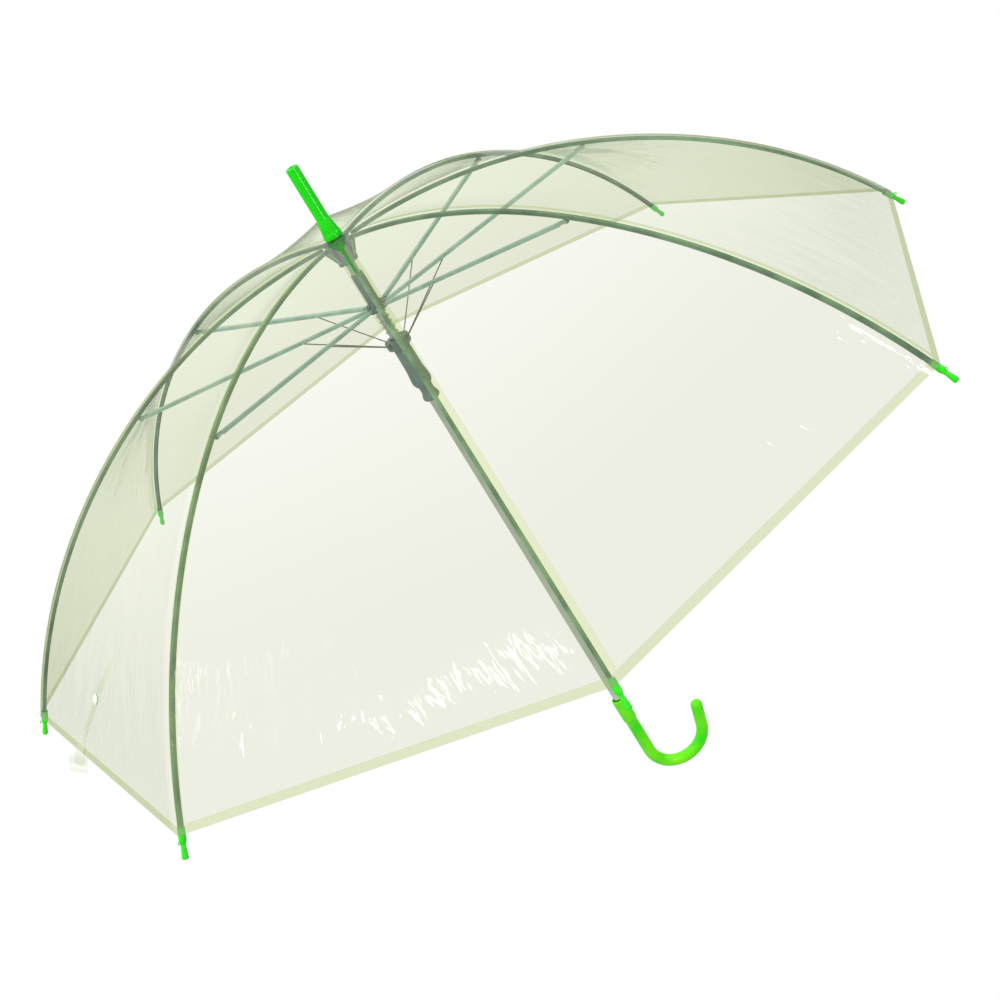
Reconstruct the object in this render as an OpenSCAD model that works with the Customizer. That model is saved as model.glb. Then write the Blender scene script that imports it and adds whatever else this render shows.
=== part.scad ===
// Child's clear dome umbrella, shown open: a stick umbrella with a sprung opening frame.
// +Z runs up the shaft to the ferrule, the crook opens towards +X and rib 1 points to -Y.
// The origin is on the shaft's axis, in the middle of the straight grip.
// Heights are given as depths below the ferrule's base, the way an umbrella frame is set out.

/* [Canopy] */
// Radius of the open canopy at its corners
canopy_r = 425; // [415:1:435]
// Depth of the corners below the ferrule's base
canopy_drop = 224; // [216:1:230]
// Thickness of the film
film_t = 0.3; // [0.2:0.1:0.6]
// Air between the ribs' backs and the film
film_gap = 1.6; // [1.5:0.1:2]

/* [Frame] */
// Radius of the circle that the rib and stretcher pivots lie on
pivot_r = 7; // [7:0.1:7.4]
// Depth of the rib pivots in the top notch
rib_pivot_drop = 22; // [21:0.5:23]
// Distance of the middle joint from the shaft's axis
joint_r = 208; // [200:1:215]
// Depth of the middle joint
joint_drop = 45; // [44:0.5:46]
// Width of a rib's channel
rib_w = 3.1; // [2.8:0.1:3.4]
// Height of a rib's channel
rib_h = 3; // [2.8:0.1:3.2]
// Wall of the pressed steel channels
channel_t = 0.5; // [0.4:0.05:0.6]
// Slope of the rib where the stretcher meets it, in degrees
rib_slope = 24; // [23:0.5:26]
// Distance of the wire's eye from the hub pivot, along the stretcher
wire_eye = 62; // [56:1:68]

/* [Runner] */
// Diameter of the steel shaft
shaft_d = 8; // [7.6:0.1:8]
// Depth of the wire ends in the slider's crown
crown_drop = 102; // [100:0.5:104]
// Radius of the wire ends in the slider's crown
crown_eye_r = 10; // [9.8:0.1:10.2]
// Length of the slider below the wire ends
slider_len = 58; // [54:0.5:58]

/* [Ferrule and handle] */
// Length of the ferrule above the film
ferrule_len = 62; // [50:1:75]
// Diameter of the ferrule's tube
ferrule_d = 10.7; // [10:0.1:12]
// Depth of the handle's mouth
collar_drop = 510; // [508:0.5:512]
// Diameter of the crook's rod
crook_d = 11.4; // [11:0.1:12]
// Radius of the crook's bend
crook_r = 28; // [24:0.5:32]
// Sweep of the crook's bend, in degrees
crook_sweep = 167; // [160:1:180]

/* [Hidden] */
RIBS = 8;                    // the frame, the notch and the canopy are all laid out on eight ribs
SMOOTH = 48;                 // facets of a round, above the count where rounds are exact
origin_drop = 543;           // depth of the middle of the straight grip
grip_end_drop = 578;         // depth where the straight grip turns into the crook
run_gap = 0.08;              // running clearance of the sliding and turning fits
wire_r = 0.5;                // radius of the tie wires
rivet_r = 0.8;               // radius of the middle joint's rivet
eye_r = 1.6;                 // radius of a pivot eye
eye_t = 2;                   // thickness of a pivot eye
eye_bore_r = 0.65;           // bore that rides on the notch wire
slot_w = 2.8;                // width of the slots in the notch and the hub
lug_t = 1.6;                 // thickness of the lug under a rib
lug_r = 1.9;                 // radius of the lug around its rivet
bar_w = 3.5;                 // width of a stretcher's channel
bar_h = 2.8;                 // height of a stretcher's channel
bar_t = 0.7;                 // wall of a stretcher's channel
knuckle_r = 0.8;             // radius of the rib's flex knuckle
flex_step = 4;               // distance from the middle joint out to the flex knuckle
tube_bore_r = 3.3;           // bore of the steel shaft
shaft_top = -52;             // the shaft ends this far above the ferrule's base
shaft_end = 569;             // and this deep inside the handle
film_seat = 2;               // the ferrule's base presses on the film at this depth
spring_r = 4.75;             // mean radius of the main spring
spring_wire_r = 0.45;        // its wire
spring_turns = 13;           // its turns
spring_top = 73;             // depth of its upper end, under the hub
spring_end = 142;            // depth of its lower end, in the slider's pocket
pocket_r = 5.7;              // bore of the pocket for the spring
button_side = 90;            // the button is on the side away from rib 1
button_drop = 524;           // depth of the button's middle

shaft_r = shaft_d / 2;
bore_r = shaft_r + run_gap;
crook_rod_r = crook_d / 2;

function height(drop) = origin_drop - drop;
function polar(r, a) = [r * cos(a), r * sin(a)];

// Points of the linkage as [distance from the axis, height]
P = [pivot_r, height(rib_pivot_drop)];
J = [joint_r, height(joint_drop)];
H = [pivot_r, height(2 * joint_drop - rib_pivot_drop)];
bar_len = norm(J - H);
bar_dir = (J - H) / bar_len;
A = H + wire_eye * bar_dir;
W = [crown_eye_r, height(crown_drop)];

// The rib's centre line: two arcs that meet smoothly above the middle joint
rib_normal = [-sin(rib_slope), -cos(rib_slope)];
rib_tangent = [cos(rib_slope), -sin(rib_slope)];
rib_at_joint = J - 3.5 * rib_normal;
rib_start = [13, height(6)];
rib_end = [canopy_r, height(canopy_drop)];
function arc_radius(q) = (q - rib_at_joint) * (q - rib_at_joint) / (2 * ((q - rib_at_joint) * rib_normal));
inner_r = arc_radius(rib_start);
outer_r = arc_radius(rib_end);
inner_c = rib_at_joint + inner_r * rib_normal;
outer_c = rib_at_joint + outer_r * rib_normal;
function bearing(c, q) = atan2(q[1] - c[1], q[0] - c[0]);
joint_a = 90 - rib_slope;
start_a = bearing(inner_c, rib_start);
end_a = bearing(outer_c, rib_end);
flex_a = joint_a - flex_step / outer_r * 180 / PI;
flex_point = outer_c + polar(outer_r + rib_h / 2 - knuckle_r + 0.1, flex_a);

// --- placing -------------------------------------------------------------

// Turns a shape drawn in the X-Z plane into the plane of rib k
module rib_plane(k) {
    rotate([0, 0, -90 + (k - 1) * 360 / RIBS]) children();
}

// Moves a shape to a point of the linkage
module at(point) {
    translate([point[0], 0, point[1]]) children();
}

// A round bar across the rib plane, centred on a point of the linkage
module cross_bar(point, r, t) {
    at(point) rotate([90, 0, 0]) cylinder(r = r, h = t, center = true, $fn = SMOOTH);
}

// A solid that rises along the axis from one depth to another
module between(low_drop, high_drop) {
    translate([0, 0, height(low_drop)]) linear_extrude(low_drop - high_drop) children();
}

module ring(r, drop, wire) {
    translate([0, 0, height(drop)])
        rotate_extrude($fn = SMOOTH) translate([r, 0]) circle(wire, $fn = SMOOTH);
}

// --- shaft, ferrule and crown ---------------------------------------------

module shaft_tube() {
    color("silver") between(shaft_end, shaft_top) difference() {
        circle(shaft_r, $fn = SMOOTH);
        circle(tube_bore_r, $fn = SMOOTH);
    }
}

module ferrule() {
    tube_r = ferrule_d / 2;
    base_r = 7.8;
    flare = 15;
    blind_end = 6;
    top = ferrule_len;
    color("lime") translate([0, 0, height(0)]) difference() {
        rotate_extrude($fn = SMOOTH) polygon([
            [0, -film_seat], [base_r - 0.6, -film_seat], [base_r, -film_seat + 0.8],
            [base_r, 1.5], [base_r - 0.7, 4], [tube_r + 0.9, flare - 5], [tube_r, flare],
            [tube_r, top - 1], [tube_r - 0.8, top], [0, top]]);
        translate([0, 0, -film_seat - 1])
            cylinder(r = shaft_r + 0.02, h = -shaft_top + film_seat + 1.1, $fn = SMOOTH);
        translate([0, 0, top - blind_end]) cylinder(r = 2.6, h = blind_end + 1, $fn = SMOOTH);
    }
}

// Toothed washer that gathers the film under the ferrule
module rosette() {
    teeth = 16;
    outer = 9.6;
    inner = 8.2;
    color("darkslategray") between(3.9, 3.1) difference() {
        polygon([for (i = [0:2 * teeth - 1]) polar(i % 2 == 0 ? outer : inner, i * 180 / teeth)]);
        circle(shaft_r + 0.05, $fn = SMOOTH);
    }
}

// A round block with a slot for each rib or stretcher and a groove for its ring of wire
module slotted_block(profile, slot_low, slot_high, eye_drop) {
    slot_in = 5.2;
    slot_out = 12;
    difference() {
        rotate_extrude($fn = SMOOTH) polygon(profile);
        for (k = [1:RIBS]) rib_plane(k)
            translate([slot_in, -slot_w / 2, height(slot_low)])
                cube([slot_out, slot_w, slot_low - slot_high]);
        ring(pivot_r, eye_drop, wire_r + 0.02);
    }
}

module top_notch() {
    rim = 8.7;
    top = 4;
    low = 25;
    color("darkslategray") slotted_block([
        [shaft_r + 0.02, height(low)], [rim - 0.6, height(low)], [rim, height(low - 0.6)],
        [rim, height(top)], [shaft_r + 0.02, height(top)]],
        low + 1, 8, rib_pivot_drop);
}

module notch_wire() {
    color("silver") ring(pivot_r, rib_pivot_drop, wire_r);
}

// --- handle ----------------------------------------------------------------

module crook_end() {
    rise = 22;
    sunk = 1;
    end_r = crook_rod_r - 0.04;
    translate([crook_r, 0, height(grip_end_drop)]) rotate([0, 180 - crook_sweep, 0])
        translate([crook_r, 0, 0]) {
            translate([0, 0, -sunk]) rotate_extrude($fn = SMOOTH) difference() {
                union() {
                    square([end_r, rise + sunk]);
                    translate([0, rise + sunk]) circle(end_r);
                }
                translate([-9, -9]) square([9, 99]);
            }
        }
}

module crook_bend() {
    translate([crook_r, 0, height(grip_end_drop)]) rotate([90, 0, 0]) rotate([0, 0, 180])
        rotate_extrude(angle = crook_sweep, $fn = SMOOTH)
            translate([crook_r, 0]) circle(crook_rod_r, $fn = SMOOTH);
}

module button_pocket(grow) {
    wide = 5 + 2 * grow;
    tall = 12 + 2 * grow;
    rotate([0, 0, button_side]) translate([shaft_r, -wide / 2, height(button_drop) - tall / 2])
        cube([8, wide, tall]);
}

module handle() {
    collar_r = 6.6;
    collar_end = 535;
    mouth_r = 5.2;
    mouth_deep = 6;
    boss = [9.4, 8, 22];
    color("lime") difference() {
        union() {
            rotate_extrude($fn = SMOOTH) polygon([
                [0, height(grip_end_drop)], [crook_rod_r, height(grip_end_drop)],
                [crook_rod_r, height(collar_end + 3)], [collar_r, height(collar_end)],
                [collar_r, height(collar_drop + 0.8)], [collar_r - 0.8, height(collar_drop)],
                [0, height(collar_drop)]]);
            rotate([0, 0, button_side]) translate([0, -boss[1] / 2, height(collar_end)])
                cube(boss);
            crook_bend();
            crook_end();
        }
        between(shaft_end + 0.5, collar_drop - 1) circle(shaft_r + 0.02, $fn = SMOOTH);
        between(collar_drop + mouth_deep, collar_drop - 1) circle(mouth_r, $fn = SMOOTH);
        button_pocket(0);
    }
}

module push_button() {
    tall = 12 - 0.4;
    wide = 5 - 0.4;
    inner = 6.9;
    outer = 11;
    color("lime") rotate([0, 0, button_side]) translate([inner, -wide / 2, height(button_drop) - tall / 2])
        hull() {
            cube([outer - inner - 0.8, wide, tall]);
            translate([0, 0.8, 0.8]) cube([outer - inner, wide - 1.6, tall - 1.6]);
        }
}

// Bowed strip of spring steel between the shaft and the button
module button_spring() {
    bow = 2.4;
    half = 5;
    strip = 0.25;
    r = (half * half + bow * bow) / (2 * bow);
    color("silver") rotate([0, 0, button_side])
        translate([shaft_r + 0.1 + bow + strip - r, 0, height(button_drop)]) rotate([90, 0, 0])
            linear_extrude(3, center = true) difference() {
                circle(r, $fn = SMOOTH);
                circle(r - strip, $fn = SMOOTH);
                translate([-r - bow, 0]) square(4 * r, center = true);
            }
}

// --- ribs -------------------------------------------------------------------

// A channel bent along an arc of the rib, open towards the inside of the bend
module channel_arc(c, r, from_a, to_a) {
    half_w = rib_w / 2;
    half_h = rib_h / 2;
    web = half_h - channel_t;
    leg = half_w - channel_t;
    at(c) rotate([90, 0, 0]) rotate([0, 0, from_a])
        rotate_extrude(angle = to_a - from_a, $fn = SMOOTH) translate([r, 0]) polygon([
            [-half_h, -half_w], [half_h, -half_w], [half_h, half_w], [-half_h, half_w],
            [-half_h, leg], [web, leg], [web, -leg], [-half_h, -leg]]);
}

// A flat bar in the rib plane, from one point of the linkage to another
module flat_bar(from, to, w, t) {
    run = to - from;
    at(from) rotate([0, -atan2(run[1], run[0]), 0])
        translate([0, -t / 2, -w / 2]) cube([norm(run), t, w]);
}

module rib_inner(k) {
    crank_end = rib_start + [1.5, -0.2];
    flex_gap = 0.1 / outer_r * 180 / PI;
    color("silver") rib_plane(k) difference() {
        union() {
            channel_arc(inner_c, inner_r, joint_a, start_a);
            channel_arc(outer_c, outer_r, flex_a + flex_gap, joint_a);
            flat_bar(P, crank_end, 2.4, eye_t);
            flat_bar(rib_start, rib_start + [3.6, 0.2], 2.6, 2.6);
            cross_bar(P, eye_r, eye_t);
            cross_bar(J, lug_r, lug_t);
            flat_bar(J, rib_at_joint - 1.2 * rib_normal, 3, lug_t);
        }
        cross_bar(P, eye_bore_r, 3 * eye_t);
        cross_bar(J, rivet_r + 0.05, 3 * lug_t);
        cross_bar(flex_point, knuckle_r + 0.1, 2 * rib_w);
    }
}

module rib_outer(k) {
    color("silver") rib_plane(k) union() {
        channel_arc(outer_c, outer_r, end_a, flex_a);
        cross_bar(flex_point, knuckle_r, rib_w - 0.3);
    }
}

// Moulded tip: a socket over the rib's end, an eye that holds the film's corner and a bulb
module rib_tip(k) {
    socket = 9;
    bulb = 13;
    slack = 0.15;
    color("lime") rib_plane(k) at(rib_end) rotate([0, 180 - end_a, 0]) translate([0, 0, slack]) {
        translate([0, 0, -socket]) difference() {
            cylinder(r = 2.7, h = socket, $fn = SMOOTH);
            translate([0, 0, -1]) cylinder(r = 2.36, h = socket + 1, $fn = SMOOTH);
        }
        rotate_extrude($fn = SMOOTH) polygon([
            [0, 0], [2.7, 0], [2.2, 1.6], [1.75, 2.6], [2.3, bulb - 3],
            [2.45, bulb - 1.4], [1.9, bulb - 0.3], [0, bulb]]);
        translate([-2.9, 0, 1.2]) rotate([90, 0, 0])
            rotate_extrude($fn = SMOOTH) translate([1, 0]) circle(0.35, $fn = SMOOTH);
    }
}

// --- stretchers and tie wires -------------------------------------------------

module stretcher_channel(from_x, to_x) {
    span = to_x - from_x;
    half_w = bar_w / 2;
    half_h = bar_h / 2;
    translate([from_x, 0, 0]) difference() {
        translate([0, -half_w, -half_h]) cube([span, bar_w, bar_h]);
        translate([-1, -half_w + bar_t, -half_h - 1])
            cube([span + 2, bar_w - 2 * bar_t, bar_h - bar_t + 1]);
    }
}

module stretcher(k) {
    fork_x = bar_len - 6.5;
    leg_y = bar_w / 2 - bar_t / 2;
    leg_trim = 0.6;
    color([0.55, 0.66, 0.6]) rib_plane(k) at(H) rotate([0, -atan2(bar_dir[1], bar_dir[0]), 0]) {
        difference() {
            union() {
                rotate([90, 0, 0]) cylinder(r = eye_r, h = eye_t, center = true, $fn = SMOOTH);
                translate([0, -eye_t / 2, -1.2]) cube([8, eye_t, 2.4]);
                translate([6, -bar_w / 2, -bar_h / 2]) cube([3, bar_w, bar_h]);
                stretcher_channel(8, fork_x);
                for (side = [-1, 1]) translate([0, side * leg_y, 0]) {
                    translate([fork_x - 0.5, -bar_t / 2, leg_trim - bar_h / 2])
                        cube([7, bar_t, bar_h - leg_trim]);
                    translate([bar_len, 0, 0]) rotate([90, 0, 0])
                        cylinder(r = bar_h / 2, h = bar_t, center = true, $fn = SMOOTH);
                }
            }
            rotate([90, 0, 0]) cylinder(r = eye_bore_r, h = 9, center = true, $fn = SMOOTH);
            translate([wire_eye, 0, 0]) rotate([90, 0, 0])
                cylinder(r = wire_r + 0.05, h = 9, center = true, $fn = SMOOTH);
            translate([bar_len, 0, 0]) rotate([90, 0, 0])
                cylinder(r = rivet_r + 0.05, h = 9, center = true, $fn = SMOOTH);
        }
        rivet();
    }
}

module rivet() {
    head_r = 1.3;
    head_t = 0.45;
    translate([bar_len, 0, 0]) rotate([90, 0, 0]) {
        cylinder(r = rivet_r, h = bar_w + 0.2, center = true, $fn = SMOOTH);
        for (side = [-1, 1]) translate([0, 0, side * (bar_w / 2 + 0.1 + head_t / 2)])
            cylinder(r = head_r, h = head_t, center = true, $fn = SMOOTH);
    }
}

module tie_wire(k) {
    run = W - A;
    color("gray") rib_plane(k) {
        at(A) rotate([0, 90 - atan2(run[1], run[0]), 0])
            cylinder(r = wire_r, h = norm(run), $fn = SMOOTH);
        cross_bar(A, wire_r, bar_w + 0.3);
        cross_bar(W, 0.8, 1.5);
    }
}

// --- runner: hub, slider and main spring ----------------------------------------

module hub() {
    eye_drop = 2 * joint_drop - rib_pivot_drop;
    color("darkslategray") slotted_block([
        [bore_r, height(eye_drop + 3)], [8, height(eye_drop + 3)], [8.5, height(eye_drop + 2.4)],
        [8.5, height(eye_drop - 3.2)], [5.4, height(eye_drop - 4.8)],
        [5.2, height(eye_drop - 32)], [bore_r, height(eye_drop - 32)]],
        eye_drop + 1.9, eye_drop - 20, eye_drop);
}

module hub_wire() {
    color("silver") ring(pivot_r, 2 * joint_drop - rib_pivot_drop, wire_r);
}

module slider() {
    top = crown_drop - 3;
    low = crown_drop + slider_len;
    color([0.2, 0.27, 0.25]) difference() {
        rotate_extrude($fn = SMOOTH) polygon([
            [bore_r, height(top)], [10.4, height(top)], [10.8, height(top + 0.6)],
            [10.8, height(top + 6.4)], [10, height(top + 7.4)], [7.3, height(top + 9)],
            [7.5, height(low - 30)], [8.5, height(low - 22)], [8.5, height(low - 18)],
            [7.6, height(low - 15.5)], [5.9, height(low - 13)], [5.7, height(low - 8)],
            [7.4, height(low - 3.5)], [7.4, height(low - 1.5)], [6.2, height(low)],
            [bore_r, height(low)]]);
        between(spring_end + 0.5, top - 1) circle(pocket_r, $fn = SMOOTH);
        for (k = [1:RIBS]) rib_plane(k)
            translate([W[0] - 1.2, -1.1, W[1] - 1.2]) cube([5, 2.2, 9]);
    }
}

// Helix of round wire with its end turns wound close, swept as one closed skin
module main_spring() {
    steps = 14;
    sides = 6;
    count = spring_turns * steps;
    length = spring_end - spring_top - 2 * spring_wire_r;
    function ease(u) = u < 0.08 ? 0.3 * u : u > 0.92 ? 1 - 0.3 * (1 - u) : 0.024 + (u - 0.08) * 0.952 / 0.84;
    points = [for (i = [0:count]) let (a = i * 360 / steps, z = ease(i / count) * length)
        for (j = [0:sides - 1]) let (b = j * 360 / sides, r = spring_r + spring_wire_r * cos(b))
            [r * cos(a), r * sin(a), z + spring_wire_r * sin(b)]];
    skin = [for (i = [0:count - 1], j = [0:sides - 1]) let (n = (j + 1) % sides)
        [i * sides + j, i * sides + n, (i + 1) * sides + n, (i + 1) * sides + j]];
    caps = [[for (j = [sides - 1:-1:0]) j], [for (j = [0:sides - 1]) count * sides + j]];
    color("silver") translate([0, 0, height(spring_end) + spring_wire_r])
        polyhedron(points, concat(caps, [for (f = skin) [f[3], f[2], f[1], f[0]]]));
}

// --- canopy and strap -------------------------------------------------------------

// The film's profile over a rib, from the shaft out to the hem, raised off the rib's centre line
function film_profile(raise, seat) = concat(
    [[shaft_r + 0.4, height(seat)], [9, height(seat)]],
    [for (i = [0:6]) inner_c + polar(inner_r + raise, start_a - 1 + (joint_a - start_a + 1) * i / 6)],
    [for (i = [1:8]) outer_c + polar(outer_r + raise, joint_a + (end_a + 0.4 - joint_a) * i / 8)]);

// Eight gores of clear film drawn tight from rib to rib, in one piece
module canopy() {
    inside = rib_h / 2 + film_gap;
    under = film_profile(inside, film_seat + 0.1 + film_t);
    over = film_profile(inside + film_t, film_seat + 0.1);
    rings = concat(over, [for (i = [len(under) - 1:-1:0]) under[i]]);
    n = len(rings);
    points = [for (p = rings, k = [1:RIBS]) let (a = -90 + (k - 1) * 360 / RIBS)
        [p[0] * cos(a), p[0] * sin(a), p[1]]];
    faces = [for (i = [0:n - 1], k = [0:RIBS - 1]) let (m = (i + 1) % n, s = (k + 1) % RIBS)
        [i * RIBS + k, m * RIBS + k, m * RIBS + s, i * RIBS + s]];
    color([0.85, 0.93, 0.75, 0.4]) polyhedron(points, faces);
}

// Where the film is at a share of the way across the gore from rib 7 to rib 8,
// and at a share of the way out from the middle joint to the hem
function gore_point(across, out, raise) =
    let (p = outer_c + polar(outer_r + raise, joint_a + (end_a - joint_a) * out),
         a = -90 + 6 * 360 / RIBS, b = -90 + 7 * 360 / RIBS)
    (1 - across) * [p[0] * cos(a), p[0] * sin(a), p[1]] + across * [p[0] * cos(b), p[0] * sin(b), p[1]];

// Closing strap: a band of the same film, welded to the gore and hanging past the hem
module strap() {
    wide = 0.027;
    lift = rib_h / 2 + film_gap + film_t + 0.5;
    thick = 0.6;
    steps = 10;
    function row(i, raise) = let (u = i / steps, out = 0.58 + 0.5 * u, across = 0.47 - 0.14 * u)
        [gore_point(across - wide, out, raise), gore_point(across + wide, out, raise)];
    points = [for (i = [0:steps]) each concat(row(i, lift), row(i, lift + thick))];
    sides = [for (i = [0:steps - 1]) let (b = 4 * i) each [
        [b, b + 1, b + 5, b + 4], [b + 1, b + 3, b + 7, b + 5],
        [b + 3, b + 2, b + 6, b + 7], [b + 2, b, b + 4, b + 6]]];
    color([0.95, 0.97, 0.93, 0.6])
        polyhedron(points, concat(sides, [[0, 2, 3, 1], [4 * steps, 4 * steps + 1, 4 * steps + 3, 4 * steps + 2]]));
}

module strap_snap() {
    lift = rib_h / 2 + film_gap + film_t + 1.5;
    seat = gore_point(0.425, 0.76, lift);
    mid_a = -90 + 6.5 * 360 / RIBS;
    slope_a = joint_a + (end_a - joint_a) * 0.76;
    color("whitesmoke") translate(seat) rotate([0, 0, mid_a]) rotate([0, 90 - slope_a, 0]) {
        cylinder(r = 4.2, h = 1, $fn = SMOOTH);
        cylinder(r = 2.2, h = 2.2, $fn = SMOOTH);
    }
}

shaft_tube();
ferrule();
rosette();
top_notch();
notch_wire();
handle();
push_button();
button_spring();
for (k = [1:RIBS]) {
    rib_inner(k);
    rib_outer(k);
    rib_tip(k);
    stretcher(k);
    tie_wire(k);
}
hub();
hub_wire();
slider();
main_spring();
canopy();
strap();
strap_snap();
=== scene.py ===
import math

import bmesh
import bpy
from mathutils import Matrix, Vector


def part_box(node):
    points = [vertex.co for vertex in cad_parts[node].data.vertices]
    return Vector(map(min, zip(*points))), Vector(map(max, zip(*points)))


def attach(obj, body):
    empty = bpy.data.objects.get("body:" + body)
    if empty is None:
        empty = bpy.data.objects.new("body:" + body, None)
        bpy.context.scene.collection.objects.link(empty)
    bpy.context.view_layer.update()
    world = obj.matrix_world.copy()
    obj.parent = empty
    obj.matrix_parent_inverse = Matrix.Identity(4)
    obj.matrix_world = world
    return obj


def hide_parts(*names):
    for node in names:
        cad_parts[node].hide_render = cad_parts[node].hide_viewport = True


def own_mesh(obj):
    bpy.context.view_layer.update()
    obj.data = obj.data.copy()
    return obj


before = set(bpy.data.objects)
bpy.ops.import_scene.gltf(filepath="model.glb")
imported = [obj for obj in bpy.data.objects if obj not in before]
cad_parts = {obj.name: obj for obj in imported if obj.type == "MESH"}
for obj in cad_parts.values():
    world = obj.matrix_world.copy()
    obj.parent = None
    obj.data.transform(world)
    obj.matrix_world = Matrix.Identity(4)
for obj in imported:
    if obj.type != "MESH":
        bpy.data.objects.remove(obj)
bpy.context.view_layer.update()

# %% [markdown]
# # A clear dome umbrella
# A child's umbrella is a sheet of clear film held tight by a sprung steel frame. The frame, the handle
# and the ferrule come from the CAD model, so here they only get their finish. The film, its hem, its
# welded seams, the closing strap and the main spring are soft or finely wound, so they are made here.
# The first cells keep the CAD model's box.

RIBS = 8
GORE = math.tau / RIBS
MM = 0.001


def rib_bearing(k):
    """The direction in which rib k stands, as an angle about the shaft."""
    return -math.pi / 2 + (k - 1) * GORE


# %% [markdown]
# ## Camera
# A camera is easiest to aim by what it looks at: a point on the shaft, from a bearing and a height,
# and then a roll about its own view. The roll is what makes the shaft run across the picture.

# %% Camera
def add_camera(target, bearing, height, roll, distance, focal_mm):
    flat = Vector((math.sin(bearing), -math.cos(bearing), 0))
    back = flat * math.cos(height) + Vector((0, 0, math.sin(height)))
    across = Vector((math.cos(bearing), math.sin(bearing), 0))
    upward = back.cross(across)
    right = across * math.cos(roll) - upward * math.sin(roll)
    up = across * math.sin(roll) + upward * math.cos(roll)
    turn = Matrix((right, up, back)).transposed().to_4x4()
    data = bpy.data.cameras.new("camera")
    data.lens, data.sensor_width = focal_mm, 36
    data.clip_start, data.clip_end = 0.05, 50
    camera = bpy.data.objects.new("camera", data)
    camera.matrix_world = Matrix.Translation(target + back * distance) @ turn
    bpy.context.scene.collection.objects.link(camera)
    bpy.context.scene.camera = camera
    return camera


view = add_camera(target=Vector((0.0031, 0, 0.2701)), bearing=math.radians(-0.48), height=math.radians(24.9),
                  roll=math.radians(31.55), distance=1.3117, focal_mm=54.49)
print("camera stands at", [round(x, 3) for x in view.matrix_world.translation])

# %% [markdown]
# ## Colours and nodes
# Colours are written as the hex values a colour picker shows, and Blender's shaders want linear light,
# so one function turns one into the other. A second small function adds a node, sets its inputs and
# links it, so that each material below reads as a list of what it is made of. The last helper turns
# a finished shape into a named piece that stands at the origin.

# %% Colour, node and piece helpers
def linear(hex_colour):
    values = [int(hex_colour[i:i + 2], 16) / 255 for i in (1, 3, 5)]
    return tuple(v / 12.92 if v <= 0.04045 else ((v + 0.055) / 1.055) ** 2.4 for v in values) + (1.0,)


def add_node(tree, kind, settings=None, **inputs):
    """Adds a node. Settings are its own properties. Inputs are numbers, colours or other nodes' sockets,
    named as the node names them, or _0, _1 and so on by their place."""
    node = tree.nodes.new(kind)
    for name, value in (settings or {}).items():
        setattr(node, name, value)
    for name, value in inputs.items():
        socket = node.inputs[int(name[1:])] if name[0] == "_" else node.inputs[name.replace("_", " ")]
        if isinstance(value, bpy.types.NodeSocket):
            tree.links.new(value, socket)
        else:
            socket.default_value = value
    return node


def new_material(name):
    material = bpy.data.materials.new(name)
    material.use_nodes = True
    material.node_tree.nodes.clear()
    return material, material.node_tree


def finish_material(tree, shader):
    add_node(tree, "ShaderNodeOutputMaterial", Surface=shader)


def noise(tree, vector, per_metre, detail=2.0, rough=0.5):
    """Soft random patches; per_metre is how many there are along a metre."""
    return add_node(tree, "ShaderNodeTexNoise", Vector=vector, Scale=per_metre, Detail=detail,
                    Roughness=rough)


def ramp(tree, factor, low, high):
    """0 where the factor is low, 1 where it is high, and straight in between."""
    return add_node(tree, "ShaderNodeMapRange", _0=factor, _1=low, _2=high).outputs[0]


def blend_colours(tree, factor, first, second):
    mix = add_node(tree, "ShaderNodeMix", {"data_type": "RGBA"}, _0=factor, _6=first, _7=second)
    return mix.outputs[2]


def object_place(tree):
    return add_node(tree, "ShaderNodeTexCoord").outputs["Object"]


def finish_piece(shape, name, materials):
    """Makes a smoothly shaded object of a shape, with its points already where they belong."""
    for face in shape.faces:
        face.smooth = True
    mesh = bpy.data.meshes.new(name)
    shape.to_mesh(mesh)
    shape.free()
    for material in materials:
        mesh.materials.append(material)
    piece = bpy.data.objects.new(name, mesh)
    bpy.context.scene.collection.objects.link(piece)
    return piece


print("helpers ready; mid grey #808080 is", round(linear("#808080")[0], 3), "in linear light")

# %% [markdown]
# ## Plated steel
# The shaft and the ribs are drawn and pressed steel with a bright nickel or zinc plate. It mirrors the
# studio, so what the eye sees is the room: a pale top, narrow lamps and a darker floor. The plate is
# a little uneven, so its roughness changes from patch to patch, and a fine unevenness lies over it.

# %% Plated steel
def plated_steel(name, tint, shade, rough_low, rough_high):
    material, tree = new_material(name)
    place = object_place(tree)
    cloud = noise(tree, place, 1 / (25 * MM), 3.0)
    drawn = noise(tree, place, 1 / (1.2 * MM), 2.0)
    colour = blend_colours(tree, ramp(tree, cloud.outputs[0], 0.35, 0.65), linear(tint), linear(shade))
    rough = add_node(tree, "ShaderNodeMapRange", _0=cloud.outputs[0], _1=0.3, _2=0.7,
                     _3=rough_low, _4=rough_high)
    bump = add_node(tree, "ShaderNodeBump", Strength=0.12, Distance=0.05 * MM, Height=drawn.outputs[0])
    shader = add_node(tree, "ShaderNodeBsdfPrincipled", Base_Color=colour, Metallic=1.0,
                      Roughness=rough.outputs[0], Normal=bump.outputs[0])
    finish_material(tree, shader.outputs[0])
    return material


shaft_steel = plated_steel("nickel_plated_tube", "#dde6d8", "#c6d2c1", 0.08, 0.18)
rib_steel = plated_steel("zinc_plated_channel", "#8fb895", "#548064", 0.10, 0.2)
spring_steel = plated_steel("bright_spring_wire", "#c4cfc4", "#9fae9f", 0.15, 0.3)
ring_wire = plated_steel("galvanised_tie_wire", "#8c8574", "#6f6a5c", 0.3, 0.45)
print("steels:", [m.name for m in (shaft_steel, rib_steel, spring_steel, ring_wire)])

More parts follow.
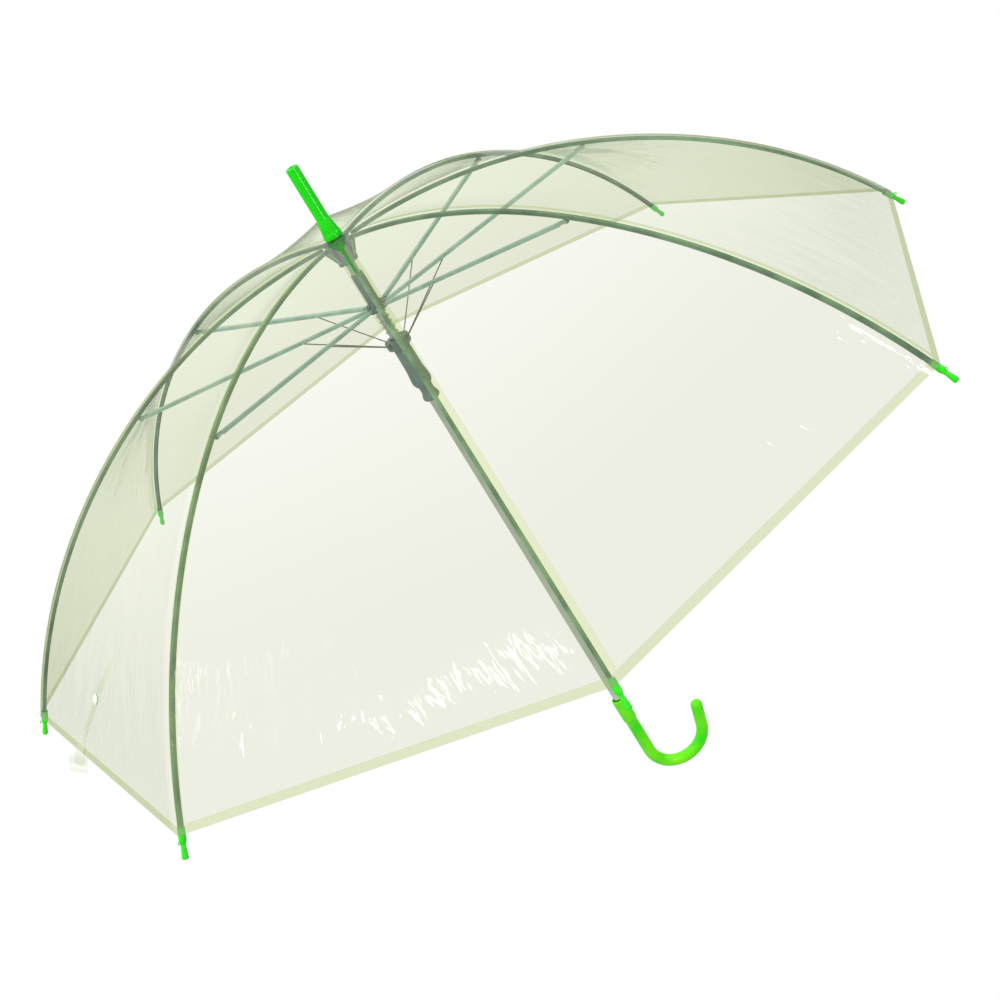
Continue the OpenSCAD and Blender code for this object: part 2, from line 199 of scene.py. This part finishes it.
# %% [markdown]
# ## Enamelled stretchers
# The stretchers are pressed from thin strip and dipped in a grey-green enamel. Enamel is a smooth
# paint: a soft sheen, a slightly cloudy colour, and a tiny orange-peel in the surface.

# %% Enamel
def enamel():
    material, tree = new_material("sage_enamel_on_steel")
    place = object_place(tree)
    cloud = noise(tree, place, 1 / (18 * MM), 4.0, 0.6)
    peel = noise(tree, place, 1 / (1.5 * MM), 1.0)
    patches = ramp(tree, cloud.outputs[0], 0.35, 0.7)
    colour = blend_colours(tree, patches, linear("#9cbcae"), linear("#7f9f92"))
    bump = add_node(tree, "ShaderNodeBump", Strength=0.15, Distance=0.1 * MM, Height=peel.outputs[0])
    shader = add_node(tree, "ShaderNodeBsdfPrincipled", Base_Color=colour, Metallic=0.35, Roughness=0.34,
                      Normal=bump.outputs[0])
    finish_material(tree, shader.outputs[0])
    return material


stretcher_enamel = enamel()
print("enamel:", stretcher_enamel.name)

# %% [markdown]
# ## Moulded plastics
# The handle, the ferrule and the tips are neon green plastic, moulded in a polished tool and glossy.
# The handle also lets a little light into its skin, which softens its shades. The hub, the notch and
# the slider are dark grey-green nylon, less glossy, with the fine texture of a plain tool.

# %% Moulded plastics
def moulded_plastic(name, light, deep, rough, grain_mm, grain_strength, glow):
    """Plastic between two shades. The grain is the tool's texture, and glow is light in the skin."""
    material, tree = new_material(name)
    place = object_place(tree)
    flow = noise(tree, place, 1 / (30 * MM), 2.0)
    grain = noise(tree, place, 1 / (grain_mm * MM), 2.0)
    colour = blend_colours(tree, ramp(tree, flow.outputs[0], 0.3, 0.7), linear(light), linear(deep))
    bump = add_node(tree, "ShaderNodeBump", Strength=grain_strength, Distance=0.1 * MM,
                    Height=grain.outputs[0])
    dull = add_node(tree, "ShaderNodeMapRange", _0=flow.outputs[0], _1=0.2, _2=0.8, _3=rough, _4=rough * 1.5)
    shader = add_node(tree, "ShaderNodeBsdfPrincipled", Base_Color=colour, Roughness=dull.outputs[0],
                      Normal=bump.outputs[0])
    shader.inputs["IOR"].default_value = 1.5
    shader.inputs["Specular IOR Level"].default_value = 0.32
    shader.inputs["Subsurface Weight"].default_value = glow
    shader.inputs["Subsurface Radius"].default_value = (0.4, 1.0, 0.2)
    shader.inputs["Subsurface Scale"].default_value = 2 * MM
    finish_material(tree, shader.outputs[0])
    return material


neon_plastic = moulded_plastic("polished_neon_polypropylene", "#7ae600", "#1cd200", 0.14, 6.0, 0.0, 0.08)
deep_plastic = moulded_plastic("neon_polypropylene_ferrule", "#1cd60a", "#0cc405", 0.14, 6.0, 0.0, 0.0)
tip_plastic = moulded_plastic("neon_polypropylene_tips", "#3ad80e", "#18c808", 0.2, 3.0, 0.0, 0.0)
dark_nylon = moulded_plastic("moulded_dark_nylon", "#5c7771", "#3b504c", 0.3, 0.8, 0.12, 0.0)
print("plastics:", [m.name for m in (neon_plastic, deep_plastic, tip_plastic, dark_nylon)])

# %% [markdown]
# ## Clear film
# The canopy is soft clear film about a tenth of a millimetre thick, with a breath of green in it.
# Almost all light goes straight through. What makes film visible is that it mirrors more the more
# it is seen edge on, that its green gathers where the eye looks along it, and that small ripples in
# it break up what it mirrors. So the shader is a tinted pane, a little milky haze and a mirror whose
# share grows with the fifth power of how edge on the film is. The ripples are bump on the film's own
# coordinates, measured in metres across and along a gore. Broad ones lie everywhere, and small
# creases grow towards the hem, where nothing pulls the film tight.

# %% Film
FACE_SHINE = 0.05                # share of light that film mirrors when seen square on
EDGE_SHINE = 0.7                 # what it mirrors on top of that when seen edge on
EDGE_TINT_POWER = 2.6            # how late the green gathers
CREASE_SIZE = 16 * MM
CREASE_STRETCH = (1.0, 0.28, 1.0)    # creases are about four times as long as they are wide
CREASE_TURN = (0, 0, 0.35)       # and lean a little off the gore's middle line
BROAD_SIZE = 90 * MM
RIPPLE_HIGH = 2.5 * MM
CREASED = (0.30, 0.50)           # metres from the shaft where creases begin and are at their fullest
CROWN_TO_SKIRT = (0.10, 0.40)    # metres from the shaft over which the crown's tint gives way


def clear_film(name, crown_tint, skirt_tint, edge_tint, haze_colour, haze, ripple):
    """Tints are what the pane lets through at the crown, at the skirt and edge on. Haze is the milky
    share, and ripple is how strongly the film's ripples show."""
    material, tree = new_material(name)
    film_place = add_node(tree, "ShaderNodeUVMap", {"uv_map": "film"}).outputs[0]
    split = add_node(tree, "ShaderNodeSeparateXYZ", Vector=film_place)
    near_hem = ramp(tree, split.outputs[1], *CREASED)
    stretched = add_node(tree, "ShaderNodeMapping", Vector=film_place, Scale=CREASE_STRETCH,
                         Rotation=CREASE_TURN)
    creases = noise(tree, stretched.outputs[0], 1 / CREASE_SIZE, 3.0, 0.55)
    broad = noise(tree, film_place, 1 / BROAD_SIZE, 2.0)
    height = add_node(tree, "ShaderNodeMath", {"operation": "MULTIPLY"}, _0=creases.outputs[0], _1=near_hem)
    waves = add_node(tree, "ShaderNodeMath", {"operation": "ADD"}, _0=height.outputs[0], _1=broad.outputs[0])
    bump = add_node(tree, "ShaderNodeBump", Strength=ripple, Distance=RIPPLE_HIGH, Height=waves.outputs[0])
    facing = add_node(tree, "ShaderNodeLayerWeight", Blend=0.5, Normal=bump.outputs[0])
    edge_on = facing.outputs["Facing"]
    grazing = add_node(tree, "ShaderNodeMath", {"operation": "POWER"}, _0=edge_on, _1=EDGE_TINT_POWER)
    down = ramp(tree, split.outputs[1], *CROWN_TO_SKIRT)
    face = blend_colours(tree, down, linear(crown_tint), linear(skirt_tint))
    tint = blend_colours(tree, grazing.outputs[0], face, linear(edge_tint))
    pane = add_node(tree, "ShaderNodeBsdfTransparent", Color=tint)
    milk = add_node(tree, "ShaderNodeBsdfPrincipled", Base_Color=linear(haze_colour), Roughness=0.35)
    body = add_node(tree, "ShaderNodeMixShader", _0=haze, _1=pane.outputs[0], _2=milk.outputs[0])
    mirror = add_node(tree, "ShaderNodeBsdfPrincipled", Base_Color=linear("#f6faec"), Metallic=1.0,
                      Roughness=0.06, Normal=bump.outputs[0])
    rise = add_node(tree, "ShaderNodeMath", {"operation": "POWER"}, _0=edge_on, _1=5.0)
    shine = add_node(tree, "ShaderNodeMath", {"operation": "MULTIPLY_ADD"}, _0=rise.outputs[0],
                     _1=EDGE_SHINE, _2=FACE_SHINE)
    sheet = add_node(tree, "ShaderNodeMixShader", _0=shine.outputs[0], _1=body.outputs[0],
                     _2=mirror.outputs[0])
    finish_material(tree, sheet.outputs[0])
    return material


gore_film = clear_film("clear_soft_film", "#fefefa", "#ecede2", "#f2f8e2", "#e0e9cf", 0.03, 0.7)
weld_film = clear_film("welded_double_film", "#edf0d2", "#e6eacb", "#bfd393", "#c3cf98", 0.10, 0.3)
hem_film = clear_film("hemmed_double_film", "#e2e7ca", "#dfe4c6", "#b9cc8c", "#b9c69a", 0.20, 0.25)
strap_film = clear_film("strap_film", "#f1f3ea", "#f1f3ea", "#d9e2c6", "#eef2e6", 0.3, 0.08)
print("films:", [m.name for m in (gore_film, weld_film, hem_film, strap_film)])

# %% [markdown]
# ## The film's gores
# A canopy is cut as eight gores and welded along the ribs into one curved sheet. Here it is divided
# the other way, down the middle of each gore and across the ribs' flex joints, so that each piece
# belongs to one length of one rib and can fold with it. At rest neighbours share their edges, so
# the sheet is whole. Each piece is a grid from Blender's own operator, bent over the rib: its rows
# follow the rib's two arcs, and its columns run straight to the middle of the gore with a slight
# hollow, as film pulled between two bows takes. This cell finds the line the film follows over a rib.

# %% Where the film lies over a rib
def film_line():
    """The CAD film's outer side over rib 1, from the shaft to the hem, as (distance out, height)."""
    corners = [v.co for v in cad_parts["canopy"].data.vertices if abs(v.co.x) < 1e-5 and v.co.y < 0]
    spots = [Vector(p) for p in sorted({(round(-c.y, 6), round(c.z, 6)) for c in corners})]
    inside = Vector((0, 0.25))
    film_thick = 0.6 * MM            # more than the CAD film's thickness, less than any step along it

    def covered(spot):
        reach = (spot - inside).length
        return any(0 < (s - spot).length < film_thick and (s - inside).length > reach for s in spots)

    return [s for s in spots if not covered(s)]


def circle_through(a, b, c):
    """Centre and radius of the circle through three points of a plane."""
    rows = Matrix(((b.x - a.x, b.y - a.y), (c.x - b.x, c.y - b.y)))
    sums = Vector(((b.length_squared - a.length_squared) / 2, (c.length_squared - b.length_squared) / 2))
    centre = rows.inverted() @ sums
    return centre, (a - centre).length


def arc_points(a, b, c, steps):
    """Points from a to c on the circle through a, b and c."""
    centre, radius = circle_through(a, b, c)
    first = math.atan2(a.y - centre.y, a.x - centre.x)
    last = math.atan2(c.y - centre.y, c.x - centre.x)
    turns = [first + (last - first) * i / steps for i in range(steps + 1)]
    return [centre + Vector((math.cos(t), math.sin(t))) * radius for t in turns]


line = film_line()
JOINT_AT = 8                     # the film's point over the rib's middle joint
CROWN_FROM, CROWN_VIA = 2, 5     # the points where the crown's arc starts and that it goes through
SKIRT_VIA = 12                   # the point that the skirt's arc goes through
CROWN_STEPS, SKIRT_STEPS = 18, 26
HEM_BAND = 6.5 * MM
crown_arc = arc_points(line[CROWN_FROM], line[CROWN_VIA], line[JOINT_AT], CROWN_STEPS)
crown_rows = line[:CROWN_FROM] + crown_arc
skirt_rows = arc_points(line[JOINT_AT], line[SKIRT_VIA], line[-1], SKIRT_STEPS)
hem_start = skirt_rows[-1] + (skirt_rows[-2] - skirt_rows[-1]).normalized() * HEM_BAND
skirt_rows = [p for p in skirt_rows[:-1] if (p - skirt_rows[-1]).length > 1.3 * HEM_BAND] + [
    hem_start, hem_start.lerp(skirt_rows[-1], 0.5), skirt_rows[-1]]
all_rows = crown_rows + skirt_rows[1:]
rows_out = [0.0]
for near, far in zip(all_rows, all_rows[1:]):
    rows_out.append(rows_out[-1] + (far - near).length)
print("film line:", len(line), "points,", round(rows_out[-1], 3), "m from the shaft to the hem")

# %% [markdown]
# ## A gore's surface
# A place on the film is named by how far out it is, and by its share of the way from the rib to the
# middle of the gore. From that, one function says where it is in space, hollow included.

# %% A gore's surface
HOLLOW = 4.5 * MM                # how far the middle of a gore sinks below the line between its ribs
HOLLOW_END = 0.96                # share of the way to the hem where the hollow has run out
SINK_OUT, SINK_UP = 0.35, 0.94   # the way the film sinks: mostly down, a little towards the shaft
WELD_BAND = 7 * MM               # width of the welded seam beside each rib
side_columns = [0.1, 0.22, 0.36, 0.52, 0.68, 0.84, 1.0]


def gore_half_width(row):
    return row.x * math.sin(GORE / 2)


def film_point(row, out, share):
    """Where the film is at a row of its line; share is 0 on the rib, 1 or -1 in the middle of a gore."""
    to_middle = math.cos(GORE / 2)
    middle = Vector((row.x * to_middle ** 2, gore_half_width(row) * to_middle, row.y))
    spot = Vector((row.x, 0, row.y)).lerp(middle, abs(share))
    down_gore = out / rows_out[-1]
    if down_gore < HOLLOW_END:
        along = math.sin(math.pi * min(1, down_gore * 1.04)) ** 0.8
        across = 1 - (1 - abs(share)) ** 2
        turn = abs(share) * GORE / 2
        way = Vector((SINK_OUT * math.cos(turn), SINK_OUT * math.sin(turn), SINK_UP))
        spot -= way * (HOLLOW * along * across)
    spot.y = math.copysign(spot.y, share) if share else 0.0
    return spot


def film_columns(row):
    """Shares across one piece, from gore middle to gore middle; the welded band keeps its width."""
    weld = min(WELD_BAND / max(gore_half_width(row), 1e-4), 0.3)
    right = [weld / 2, weld] + [weld + (1 - weld) * c for c in side_columns]
    left = [-c for c in reversed(side_columns)]
    return left + [0.0] + right


print("a gore is", round(2 * gore_half_width(all_rows[-1]), 3), "m wide at the hem")

# %% [markdown]
# ## One piece of film
# A grid from Blender's own operator is bent over the rib, point by point. Beside the rib it gets the
# welded film, along the hem the doubled film, and everywhere else the plain film.

# %% One piece of film
UV_STEP = 0.37                   # metres between the pieces' UV maps, so that no two ripple alike


def film_piece(name, rows, first_out, materials, k):
    """One grid of film bent over rib k. Its UV map holds metres across and along the gore."""
    outs = [first_out]
    for near, far in zip(rows, rows[1:]):
        outs.append(outs[-1] + (far - near).length)
    columns = len(film_columns(rows[-1]))
    film = bmesh.new()
    bmesh.ops.create_grid(film, x_segments=columns - 1, y_segments=len(rows) - 1, size=1.0)
    metres = film.loops.layers.uv.new("film")
    place = {}
    for vert in film.verts:
        i = round((vert.co.x + 1) / 2 * (columns - 1))
        j = round((1 - vert.co.y) / 2 * (len(rows) - 1))
        share = film_columns(rows[j])[i]
        place[vert] = (share * gore_half_width(rows[j]), outs[j], i, j)
        vert.co = film_point(rows[j], outs[j], share)
    weld_columns = (len(side_columns), len(side_columns) + 2)
    for face in film.faces:
        i = min(place[v][2] for v in face.verts)
        j = min(place[v][3] for v in face.verts)
        face.material_index = 1 if weld_columns[0] <= i < weld_columns[1] else 0
        if outs[j] >= rows_out[-1] - HEM_BAND * 1.01:
            face.material_index = 2
        for loop in face.loops:
            loop[metres].uv = (place[loop.vert][0] + UV_STEP * k, place[loop.vert][1])
    bmesh.ops.recalc_face_normals(film, faces=film.faces)
    if sum(f.normal.z for f in film.faces) < 0:
        bmesh.ops.reverse_faces(film, faces=film.faces)
    bmesh.ops.rotate(film, verts=film.verts, cent=(0, 0, 0),
                     matrix=Matrix.Rotation(rib_bearing(k), 3, "Z"))
    area = sum(f.calc_area() for f in film.faces)
    return finish_piece(film, name, materials), area


print("welded band", round(WELD_BAND * 1000, 1), "mm, hem", round(HEM_BAND * 1000, 1), "mm wide")

# %% [markdown]
# ## Film that rides on the ribs
# When the umbrella closes, each rib carries its own film in towards the shaft, and the loose width
# between two ribs falls into a pleat. Letting a piece of film ride on its rib does the first.

# %% The film on each rib
CROWN_PLEAT, SKIRT_PLEAT = 0.13, 0.07    # shares of its width that folded film keeps
film_materials = [gore_film, weld_film, hem_film]
for k in range(1, RIBS + 1):
    for part, rows, first, body, keep in (
            ("crown_film", crown_rows, 0.0, f"rib_{k}", CROWN_PLEAT),
            ("skirt_film", skirt_rows, rows_out[len(crown_rows) - 1], f"rib_end_{k}", SKIRT_PLEAT)):
        piece, area = film_piece(f"{part}_{k}", rows, first, film_materials, k)
        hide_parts("canopy")
        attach(piece, body)
        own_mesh(piece)

# %% [markdown]
# ## Main spring
# The spring that throws the umbrella open is round wire wound on the shaft. A helix is a circle that
# is spun about an axis while it climbs, which is what the spin operator does when it is given a step.

# %% Main spring
SPRING_MEAN_R = 4.75 * MM
SPRING_WIRE_R = 0.45 * MM
SPRING_TURNS = 13


def wound_spring(name, mean_r, wire_r, low, high, turns, steps=24, sides=10):
    coil = bmesh.new()
    start = Matrix.Translation((mean_r, 0, low + wire_r)) @ Matrix.Rotation(math.pi / 2, 4, "X")
    bmesh.ops.create_circle(coil, segments=sides, radius=wire_r, cap_ends=True, matrix=start)
    climb = (high - low - 2 * wire_r) / (turns * steps)
    bmesh.ops.spin(coil, geom=coil.faces[:], cent=(0, 0, 0), axis=(0, 0, 1), dvec=(0, 0, climb),
                   angle=math.tau * turns, steps=turns * steps)
    bmesh.ops.remove_doubles(coil, verts=coil.verts, dist=1e-6)
    bmesh.ops.recalc_face_normals(coil, faces=coil.faces)
    return finish_piece(coil, name, [spring_steel])


spring_low, spring_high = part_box("main_spring")
spring = wound_spring("wound_main_spring", SPRING_MEAN_R, SPRING_WIRE_R, spring_low[2], spring_high[2],
                      SPRING_TURNS)
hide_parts("main_spring")
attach(spring, "hub")
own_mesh(spring)

# %% [markdown]
# ## Closing strap
# The strap is a band of film, welded to the gore beside rib 7. It lies on the outside of the canopy,
# carries one snap, and ends below the hem in a stiff square tab to pull it by. Band and tab are thin
# grids laid on the gore. Their loose end has no film to lie on, so there they twist to the front.

# %% Closing strap
STRAP_RIB = 7
STRAP_WIDE, TAB_WIDE = 8.5 * MM, 16 * MM
STRAP_LIFT, TAB_LIFT = 1.0 * MM, 1.2 * MM
STRAP_SHARE, STRAP_SWING = 1.22, 0.56    # where it starts across the gore, and how far it leans over
STRAP_START, STRAP_LONG = 0.100, 0.112   # metres above the hem where it starts, and its length
TAB_SHARE, TAB_DROP, TAB_LONG = 0.67, 0.004, 0.0145
FRONT = Vector((-0.25, -0.96, 0))
TWIST = 0.8                      # share of the way that the loose end has turned to the front
TWIST_LONG = 0.2                 # share of the band's length over which it turns
SWAY = 0.5 * MM                  # the band waves this much off the film
hem_out = rows_out[-1]


def beside_rib(k, share, out, lift=0.0):
    """A point of the gore between rib k and the next one, out metres from the shaft, lifted off the film."""
    if share > 1:
        k, share = k + 1, share - 2
    j = max(i for i, o in enumerate(rows_out[:-1]) if o <= max(out, 0))
    part = (out - rows_out[j]) / (rows_out[j + 1] - rows_out[j])
    row = all_rows[j].lerp(all_rows[j + 1], part)
    spot = film_point(row, min(out, hem_out), share)
    slope = (all_rows[j + 1] - all_rows[j]).normalized()
    off = Vector((-slope.y, 0, slope.x)) * lift
    off.rotate(Matrix.Rotation(share * GORE / 2, 3, "Z"))
    return Matrix.Rotation(rib_bearing(k), 3, "Z") @ (spot + off)


def strap_band(name, path, wide, lift, steps, turn_from):
    """A band laid on the gore. path gives (share, out) for a place from 0 to 1 along it, and past
    turn_from it twists to the front."""
    band = bmesh.new()
    bmesh.ops.create_grid(band, x_segments=4, y_segments=steps, size=1.0)
    metres = band.loops.layers.uv.new("film")
    metre_of = {}
    for vert in band.verts:
        along, side = (vert.co.y + 1) / 2, vert.co.x
        here = beside_rib(STRAP_RIB, *path(along), lift)
        before = beside_rib(STRAP_RIB, *path(along - 0.01), lift)
        after = beside_rib(STRAP_RIB, *path(along + 0.01), lift)
        up = (here - beside_rib(STRAP_RIB, *path(along))).normalized()
        up = up.lerp(FRONT, TWIST * min(1, max(0, along - turn_from) / TWIST_LONG)).normalized()
        metre_of[vert] = (side * wide / 2, along * 0.13 + 0.2)
        sway = up * SWAY * math.sin(9 * along)
        vert.co = here + sway + up.cross(after - before).normalized() * side * wide / 2
    for face in band.faces:
        for loop in face.loops:
            loop[metres].uv = metre_of[loop.vert]
    area = sum(f.calc_area() for f in band.faces)
    return finish_piece(band, name, [strap_film]), area


def strap_path(along):
    share = STRAP_SHARE - STRAP_SWING * max(along, 0) ** 0.8
    return share, hem_out - STRAP_START + STRAP_LONG * along


def tab_path(along):
    return TAB_SHARE - 0.01 * along, hem_out + TAB_DROP + TAB_LONG * along


strap, strap_area = strap_band("closing_strap", strap_path, STRAP_WIDE, STRAP_LIFT, 30, turn_from=0.7)
tab, _ = strap_band("strap_tab", tab_path, TAB_WIDE, TAB_LIFT, 6, turn_from=-1)
for piece in (strap, tab):
    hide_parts("strap")
    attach(piece, f"rib_end_{STRAP_RIB}")
print("strap area", round(strap_area * 1e4, 1), "square centimetres")

# %% [markdown]
# ## The strap's snap
# The snap is a turned plastic cap. Its outline is drawn from the middle outwards and spun round.

# %% The strap's snap
SNAP_OUTLINE_MM = [(0, 0), (4.0, 0), (4.2, 0.3), (4.0, 0.8), (2.6, 1.0), (2.2, 1.5), (1.2, 1.8), (0, 1.9)]
SNAP_LIFT = 1.7 * MM
SNAP_ALONG = 0.4                 # share of the strap's length, from its welded end


def turned_disc(name, outline, centre, up, materials, steps=32):
    """A turned piece: an outline of (radius, height) points spun about its own axis."""
    disc = bmesh.new()
    spots = [disc.verts.new((r, 0, h)) for r, h in outline]
    edges = [disc.edges.new(pair) for pair in zip(spots, spots[1:])]
    bmesh.ops.spin(disc, geom=spots + edges, cent=(0, 0, 0), axis=(0, 0, 1), angle=math.tau, steps=steps,
                   use_merge=True)
    bmesh.ops.remove_doubles(disc, verts=disc.verts, dist=1e-6)
    bmesh.ops.recalc_face_normals(disc, faces=disc.faces)
    turn = Vector((0, 0, 1)).rotation_difference(up).to_matrix().to_4x4()
    bmesh.ops.transform(disc, matrix=Matrix.Translation(centre) @ turn, verts=disc.verts)
    return finish_piece(disc, name, materials)


snap_plastic = moulded_plastic("clear_moulded_snap", "#e4ecdc", "#d3dfca", 0.2, 4.0, 0.03, 0.3)
snap_centre = beside_rib(STRAP_RIB, *strap_path(SNAP_ALONG), SNAP_LIFT)
snap_up = (snap_centre - beside_rib(STRAP_RIB, *strap_path(SNAP_ALONG))).normalized()
snap = turned_disc("snap_cap", [(r * MM, h * MM) for r, h in SNAP_OUTLINE_MM], snap_centre, snap_up,
                   [snap_plastic])
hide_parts("strap_snap")
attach(snap, f"rib_end_{STRAP_RIB}")
for piece in (strap, tab, snap):
    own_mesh(piece)
print("snap at", [round(x, 3) for x in snap_centre])

# %% [markdown]
# ## Finishes on the CAD pieces
# The turned, pressed and moulded pieces have their shape already, so each only gets its material.

# %% Finishes on the CAD pieces
finish_of = {
    "shaft_tube": shaft_steel, "ferrule": deep_plastic, "rosette": dark_nylon, "top_notch": dark_nylon,
    "notch_wire": ring_wire, "handle": neon_plastic, "push_button": neon_plastic,
    "button_spring": spring_steel, "hub": dark_nylon, "hub_wire": ring_wire, "slider": dark_nylon,
}
for k in range(1, RIBS + 1):
    finish_of[f"rib_inner_{k}"] = finish_of[f"rib_outer_{k}"] = rib_steel
    finish_of[f"rib_tip_{k}"] = tip_plastic
    finish_of[f"stretcher_{k}"] = stretcher_enamel
    finish_of[f"tie_wire_{k}"] = ring_wire
for name, material in finish_of.items():
    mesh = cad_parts[name].data
    mesh.materials.clear()
    mesh.materials.append(material)
print("finished", len(finish_of), "CAD pieces")

# %% [markdown]
# ## Studio
# A white room lights the umbrella from all round. Two large softboxes light it further, and narrow
# strips are there for film, steel and plastic to mirror: each is placed where a highlight is wanted.
# Room and floor are plain white to the camera, and darker below for everything else.

# %% Room, floor and lamps
def white_room():
    room = bpy.data.worlds.new("white_room")
    room.use_nodes = True
    tree = room.node_tree
    tree.nodes.clear()
    direction = add_node(tree, "ShaderNodeTexCoord").outputs["Generated"]
    towards = add_node(tree, "ShaderNodeSeparateXYZ", Vector=direction)
    upward = ramp(tree, towards.outputs[2], -0.05, 0.30)
    grade = blend_colours(tree, upward, (0.20, 0.24, 0.20, 1), (0.95, 0.98, 0.93, 1))
    seen = add_node(tree, "ShaderNodeLightPath").outputs["Is Camera Ray"]
    colour = blend_colours(tree, seen, grade, (1.0, 1.0, 1.0, 1))
    glow = add_node(tree, "ShaderNodeBackground", Color=colour, Strength=1.0)
    add_node(tree, "ShaderNodeOutputWorld", Surface=glow.outputs[0])
    bpy.context.scene.world = room


FLOOR_HALF_WIDE = 14
FLOOR_HEIGHT = -0.9              # below the umbrella, which hangs in the air


def pale_floor(height):
    shape = bmesh.new()
    bmesh.ops.create_grid(shape, x_segments=1, y_segments=1, size=FLOOR_HALF_WIDE)
    bmesh.ops.translate(shape, verts=shape.verts, vec=(0, 0, height))
    material, tree = new_material("white_painted_board")
    cloud = noise(tree, object_place(tree), 3.0)
    colour = blend_colours(tree, cloud.outputs[0], (0.42, 0.44, 0.42, 1), (0.46, 0.47, 0.45, 1))
    board = add_node(tree, "ShaderNodeBsdfPrincipled", Base_Color=colour, Roughness=0.8)
    white = add_node(tree, "ShaderNodeEmission", Color=(1, 1, 1, 1), Strength=1.0)
    seen = add_node(tree, "ShaderNodeLightPath").outputs["Is Camera Ray"]
    either = add_node(tree, "ShaderNodeMixShader", _0=seen, _1=board.outputs[0], _2=white.outputs[0])
    finish_material(tree, either.outputs[0])
    finish_piece(shape, "floor", [material])


def soft_lamp(name, place, target, size, power, mirrored):
    """A rectangular lamp, size metres wide and high and power in watts, seen in mirrors or not."""
    data = bpy.data.lights.new(name, "AREA")
    data.shape, data.size, data.size_y = "RECTANGLE", size[0], size[1]
    data.energy = power
    lamp = bpy.data.objects.new(name, data)
    aim = (Vector(target) - Vector(place)).to_track_quat("-Z", "Y").to_matrix().to_4x4()
    lamp.matrix_world = Matrix.Translation(place) @ aim
    lamp.visible_glossy = mirrored
    bpy.context.scene.collection.objects.link(lamp)


white_room()
pale_floor(FLOOR_HEIGHT)
soft_lamp("key_softbox", (-1.6, -1.2, 2.2), (0, 0, 0.3), (1.2, 0.8), 45, False)
soft_lamp("side_strip", (2.2, -0.8, 0.9), (0, 0, 0.3), (0.12, 1.6), 9, True)
soft_lamp("hem_strip", (-1.29, -1.51, 1.63), (-0.07, -0.38, 0.34), (0.45, 0.05), 1.1, True)
soft_lamp("rib_strip", (-1.81, -0.83, 1.87), (-0.26, -0.31, 0.40), (0.012, 0.6), 0.3, True)
soft_lamp("ferrule_strip", (0.71, -1.28, 0.267), (0, 0, 0.574), (0.03, 0.24), 3.0, True)
soft_lamp("back_softbox", (0.6, 2.2, 1.6), (0, 0, 0.3), (1.4, 0.7), 30, False)
bpy.context.scene.view_settings.view_transform = "Standard"
